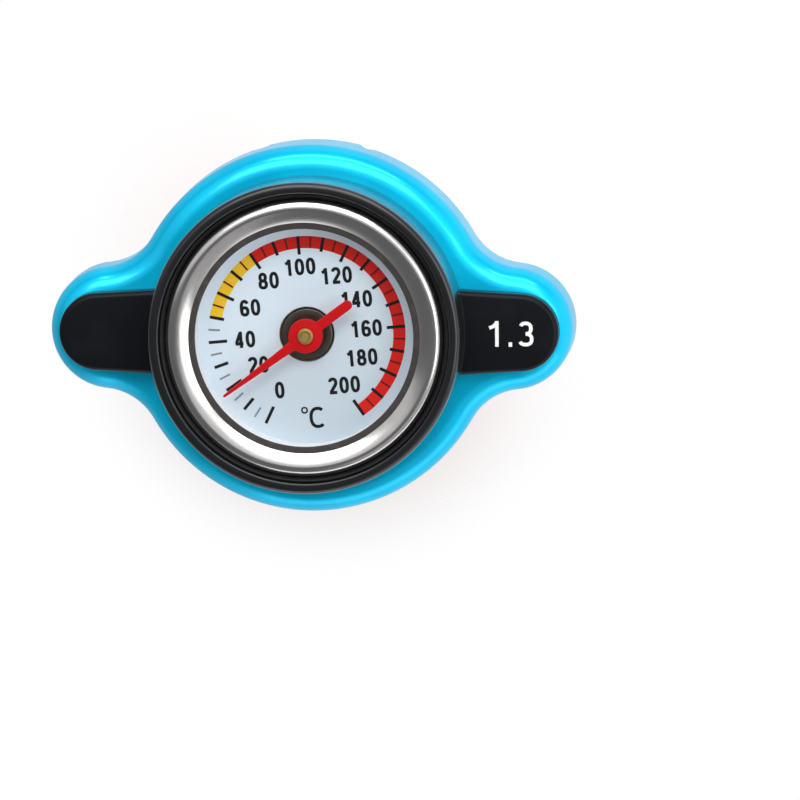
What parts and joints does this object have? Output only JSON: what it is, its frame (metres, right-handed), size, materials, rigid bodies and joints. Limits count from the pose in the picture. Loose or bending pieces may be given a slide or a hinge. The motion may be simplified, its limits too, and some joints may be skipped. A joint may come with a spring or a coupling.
{
  "type": "radiator cap thermometer",
  "caption": "Winged bayonet radiator cap with a dial thermometer in a black housing on top and a sprung pressure and vacuum valve, red seals and a copper probe below.",
  "frame": {"origin": "centre of the upper seal's sealing face, on the cap's axis", "axes": "+Z out of the dial along the cap's axis, +X along the right-hand wing, +Y to twelve o'clock"},
  "size_m": [0.0682, 0.048, 0.0436],
  "materials": {
    "blue_shell": "glossy metallic blue",
    "black_housing": "satin black",
    "sleeve_rubber": "satin black",
    "case_steel": "plain",
    "bezel_steel": "polished",
    "clear_lens": "clear",
    "spacer_plastic": "matte white",
    "dial_paint": "printed white",
    "bush_steel": "dark",
    "brass": "turned",
    "copper": "drawn copper tube",
    "bimetal": "rolled strip",
    "red_rubber": "satin red",
    "pressed_steel": "bright",
    "pointer_paint": "red enamel",
    "spindle_steel": "drawn",
    "spring_black": "black oxide",
    "black_rubber": "black"
  },
  "bodies": {
    "cap": {"cap_shell": "blue_shell", "gauge_housing": "black_housing", "gauge_sleeve": "sleeve_rubber", "gauge_case": "case_steel", "bezel": "bezel_steel", "lens": "clear_lens", "lens_spacer": "spacer_plastic", "dial_plate": "dial_paint", "dial_support": "case_steel", "spindle_bush": "bush_steel", "stem_fitting": "brass", "probe_tube": "copper", "stem_bush": "brass", "coil_anchor": "brass", "bimetal_coil": "bimetal", "upper_seal": "red_rubber", "seal_disc": "pressed_steel", "valve_guide": "pressed_steel", "retaining_ring": "pressed_steel"},
    "pointer": {"pointer": "pointer_paint", "pointer_pin": "brass", "spindle": "spindle_steel"},
    "spring": {"pressure_spring": "spring_black"},
    "pressure_valve": {"valve_cup": "pressed_steel", "pressure_seal": "red_rubber", "seal_eyelet": "brass", "vacuum_seat": "brass", "vacuum_seal": "black_rubber", "vacuum_spring": "case_steel"},
    "vacuum_valve": {"vacuum_valve": "brass", "vacuum_spring_cap": "brass"}
  },
  "joints": [
    {"name": "pointer_turn", "type": "hinge", "parent": "cap", "child": "pointer", "pos_m": [0, 0, 0.0092], "axis": [0, 0, -1], "range_deg": [-28.5, 271.5], "stiffness_Nm_per_rad": 0.00001, "deforming": ["bimetal_coil"]},
    {"name": "valve_swivel", "type": "hinge", "parent": "cap", "child": "spring", "pos_m": [0, 0, -0.005], "axis": [0, 0, 1], "continuous": true},
    {"name": "pressure_lift", "type": "slide", "parent": "spring", "child": "pressure_valve", "axis": [0, 0, 1], "range_m": [0, 0.002], "stiffness_N_per_m": 5000, "deforming": ["pressure_spring"]},
    {"name": "vacuum_drop", "type": "slide", "parent": "pressure_valve", "child": "vacuum_valve", "axis": [0, 0, -1], "range_m": [0, 0.001], "stiffness_N_per_m": 300, "springref_m": -0.0002, "deforming": ["vacuum_spring"]}
  ]
}
